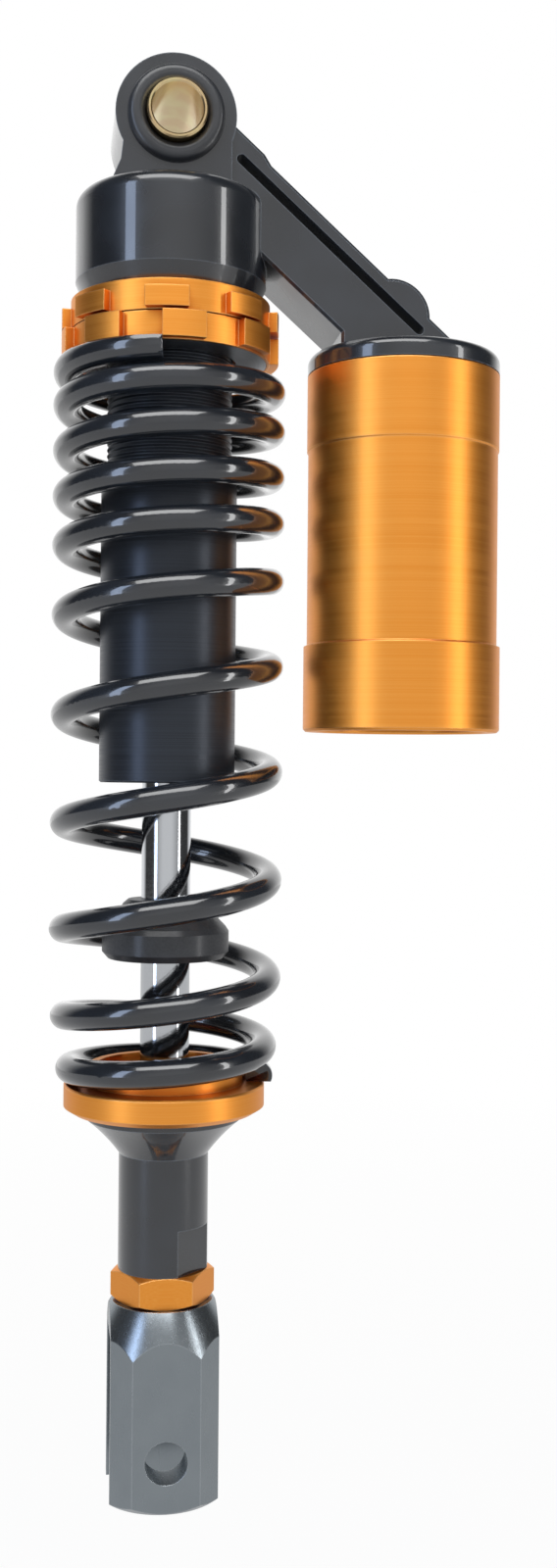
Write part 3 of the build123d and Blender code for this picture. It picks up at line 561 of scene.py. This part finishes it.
class SHOCK_OT_metal_parts(bpy.types.Operator):
    """Finishes the rod, the sleeve, the clevis and the metal parts inside"""

    bl_idname = "shock.metal_parts"
    bl_label = "Bare and plated metal"

    def execute(self, context):
        colours, _, _ = props()
        paint_slot("hard_chrome", ground_chrome("Ground hard chrome"))
        paint_slot("clevis_black", black_plating("Black zinc plating on milled steel"))
        # Slot, name, colour, second colour and roughness
        turned = (
            ("gold_zinc", "Yellow zinc plating", colours.gold_zinc, colours.gold_zinc_tint, 0.22),
            ("zinc_steel", "Clear zinc plating", colours.zinc, colours.zinc_tint, 0.34),
            ("plain_aluminium", "Turned aluminium", colours.aluminium, colours.aluminium_tint, 0.34),
            ("bronze", "Sintered bronze", colours.bronze, colours.bronze_tint, 0.5),
            ("valve_brass", "Turned brass", colours.brass, colours.brass_tint, 0.28),
            ("ptfe", "Bronze-filled PTFE", colours.ptfe, colours.ptfe_tint, 0.55),
        )
        for slot, name, tint, second_tint, roughness in turned:
            paint_slot(slot, turned_metal(name, tint, second_tint, roughness))
        return {"FINISHED"}


# ---- studio ----
def soft_box(name, place, width, height, watts, tint):
    """A soft rectangular lamp that faces the middle of the shock absorber."""
    data = bpy.data.lights.new(name, "AREA")
    data.color = tint
    data.shape = "RECTANGLE"
    data.size, data.size_y = width, height
    data.energy = watts
    lamp = bpy.data.objects.new(name, data)
    bpy.context.scene.collection.objects.link(lamp)
    lamp.location = place
    lamp.rotation_euler = (middle - Vector(place)).to_track_quat("-Z", "Y").to_euler()


def studio_world(ambient):
    """White where the camera looks, a graded room where gloss looks, and even light on the object."""
    world = bpy.data.worlds.new("White studio")
    bpy.context.scene.world = world
    world.use_nodes = True
    tree = world.node_tree
    tree.nodes.clear()
    ray = add(tree, "ShaderNodeLightPath").outputs
    way = add(tree, "ShaderNodeTexCoord").outputs["Generated"]
    depth = add(tree, "ShaderNodeSeparateXYZ", links={0: way}).outputs["Y"]
    # The room that gloss sees: dim at the sides, brighter straight in front (-Y), white behind.
    dim, bright = 0.05, 0.8
    front_starts, front_full = -0.35, -0.95
    back_starts, back_full = 0.35, 0.7
    front = add(
        tree, "ShaderNodeMapRange",
        values={"From Min": front_starts, "From Max": front_full, "To Min": dim, "To Max": bright},
        links={"Value": depth}
    ).outputs["Result"]
    behind = add(
        tree, "ShaderNodeMapRange", values={"From Min": back_starts, "From Max": back_full},
        links={"Value": depth}
    ).outputs["Result"]
    room = add(tree, "ShaderNodeMath", {"operation": "MAXIMUM"}, links={0: front, 1: behind}).outputs[0]
    unseen = add(
        tree, "ShaderNodeMix", {"data_type": "FLOAT"}, {2: ambient}, {0: ray["Is Glossy Ray"], 3: room}
    ).outputs[0]
    seen = add(
        tree, "ShaderNodeMath", {"operation": "MAXIMUM"},
        links={0: ray["Is Camera Ray"], 1: ray["Is Transmission Ray"]}
    ).outputs[0]
    strength = add(
        tree, "ShaderNodeMix", {"data_type": "FLOAT"}, {3: 1.0}, {0: seen, 2: unseen}
    ).outputs[0]
    light = add(
        tree, "ShaderNodeBackground", values={"Color": (1, 1, 1, 1)}, links={"Strength": strength}
    ).outputs[0]
    add(tree, "ShaderNodeOutputWorld", links={"Surface": light})


def floor_paint(radius, white):
    """Matte white paint that fades into the white of the studio away from the middle."""
    material = bpy.data.materials.new("Matte white floor paint")
    material.use_nodes = True
    tree = material.node_tree
    tree.nodes.clear()
    place = add(tree, "ShaderNodeTexCoord").outputs["Object"]
    away = add(tree, "ShaderNodeVectorMath", {"operation": "LENGTH"}, links={0: place}).outputs["Value"]
    fade_starts, fade_ends = 0.12 * radius, 0.4 * radius
    least_fade = 0.9
    glow_in_gloss = 0.7
    fade = add(
        tree, "ShaderNodeMapRange",
        values={"From Min": fade_starts, "From Max": fade_ends, "To Min": least_fade},
        links={"Value": away}
    ).outputs["Result"]
    matte = add(tree, "ShaderNodeBsdfDiffuse", values={"Color": (*white, 1)})
    gloss = add(tree, "ShaderNodeLightPath").outputs["Is Glossy Ray"]
    strength = add(
        tree, "ShaderNodeMapRange", values={"To Min": 1.0, "To Max": glow_in_gloss},
        links={"Value": gloss}
    ).outputs["Result"]
    glow = add(tree, "ShaderNodeEmission", values={"Color": (1, 1, 1, 1)}, links={"Strength": strength})
    both = add(tree, "ShaderNodeMixShader", links={0: fade, 1: matte.outputs[0], 2: glow.outputs[0]})
    add(tree, "ShaderNodeOutputMaterial", links={"Surface": both.outputs[0]})
    return material


class SHOCK_OT_studio(bpy.types.Operator):
    """Lays the floor, sets the lamps and the world, and stands the camera"""

    bl_idname = "shock.studio"
    bl_label = "Studio"

    def execute(self, context):
        _, _, studio = props()
        scene = context.scene
        scene.view_settings.view_transform = "Standard"
        bpy.ops.object.select_all(action="DESELECT")
        bpy.ops.mesh.primitive_circle_add(
            vertices=64, radius=studio.floor_radius, fill_type="NGON",
            location=(middle.x, middle.y, foot - studio.floor_drop)
        )
        floor = context.object
        floor.name = "floor"
        paint(floor, floor_paint(studio.floor_radius, studio.floor_white))
        studio_world(studio.ambient)
        soft_box(
            "left_box", place=(-0.75, -0.55, -0.05), width=0.2, height=1.1,
            watts=studio.left_power, tint=studio.cool_light
        )
        soft_box(
            "right_box", place=(0.75, -0.45, -0.1), width=0.1, height=1.0,
            watts=studio.right_power, tint=studio.plain_light
        )
        soft_box(
            "top_box", place=(-0.1, -0.5, 0.7), width=0.9, height=0.5,
            watts=studio.top_power, tint=studio.plain_light
        )
        data = bpy.data.cameras.new("camera")
        data.lens = studio.lens
        data.shift_y = studio.lens_shift
        camera = bpy.data.objects.new("camera", data)
        scene.collection.objects.link(camera)
        camera.location = studio.camera_place
        level = Euler((math.radians(90), 0, -studio.camera_yaw)).to_matrix()
        lean = Euler((0, 0, studio.camera_roll)).to_matrix()
        camera.rotation_euler = (level @ lean).to_euler()
        scene.camera = camera
        return {"FINISHED"}


STEPS = (
    SHOCK_OT_spring, SHOCK_OT_castings, SHOCK_OT_anodised, SHOCK_OT_rubber_parts, SHOCK_OT_metal_parts,
    SHOCK_OT_studio,
)


class SHOCK_PT_panel(bpy.types.Panel):
    """Lists the sizes, the colours and the steps"""

    bl_label = "Shock absorber"
    bl_idname = "SHOCK_PT_panel"
    bl_space_type = "VIEW_3D"
    bl_region_type = "UI"
    bl_category = "Shock"

    def draw(self, context):
        for group in props():
            box = self.layout.box()
            for name in group.bl_rna.properties.keys():
                if name not in {"rna_type", "name"}:
                    box.prop(group, name)
        for step in STEPS:
            self.layout.operator(step.bl_idname)


CLASSES = (ShockColours, ShockSizes, ShockStudio, *STEPS, SHOCK_PT_panel)


def register():
    """Registers the classes and hangs the three groups on the scene."""
    for item in CLASSES:
        bpy.utils.register_class(item)
    bpy.types.Scene.shock_colours = bpy.props.PointerProperty(type=ShockColours)
    bpy.types.Scene.shock_sizes = bpy.props.PointerProperty(type=ShockSizes)
    bpy.types.Scene.shock_studio = bpy.props.PointerProperty(type=ShockStudio)


def unregister():
    """Takes away what register put in place."""
    del bpy.types.Scene.shock_studio
    del bpy.types.Scene.shock_sizes
    del bpy.types.Scene.shock_colours
    for item in reversed(CLASSES):
        bpy.utils.unregister_class(item)


def main():
    register()
    bpy.ops.shock.spring()
    bpy.ops.shock.castings()
    bpy.ops.shock.anodised()
    bpy.ops.shock.rubber_parts()
    bpy.ops.shock.metal_parts()
    bpy.ops.shock.studio()


if __name__ == "__main__":
    main()
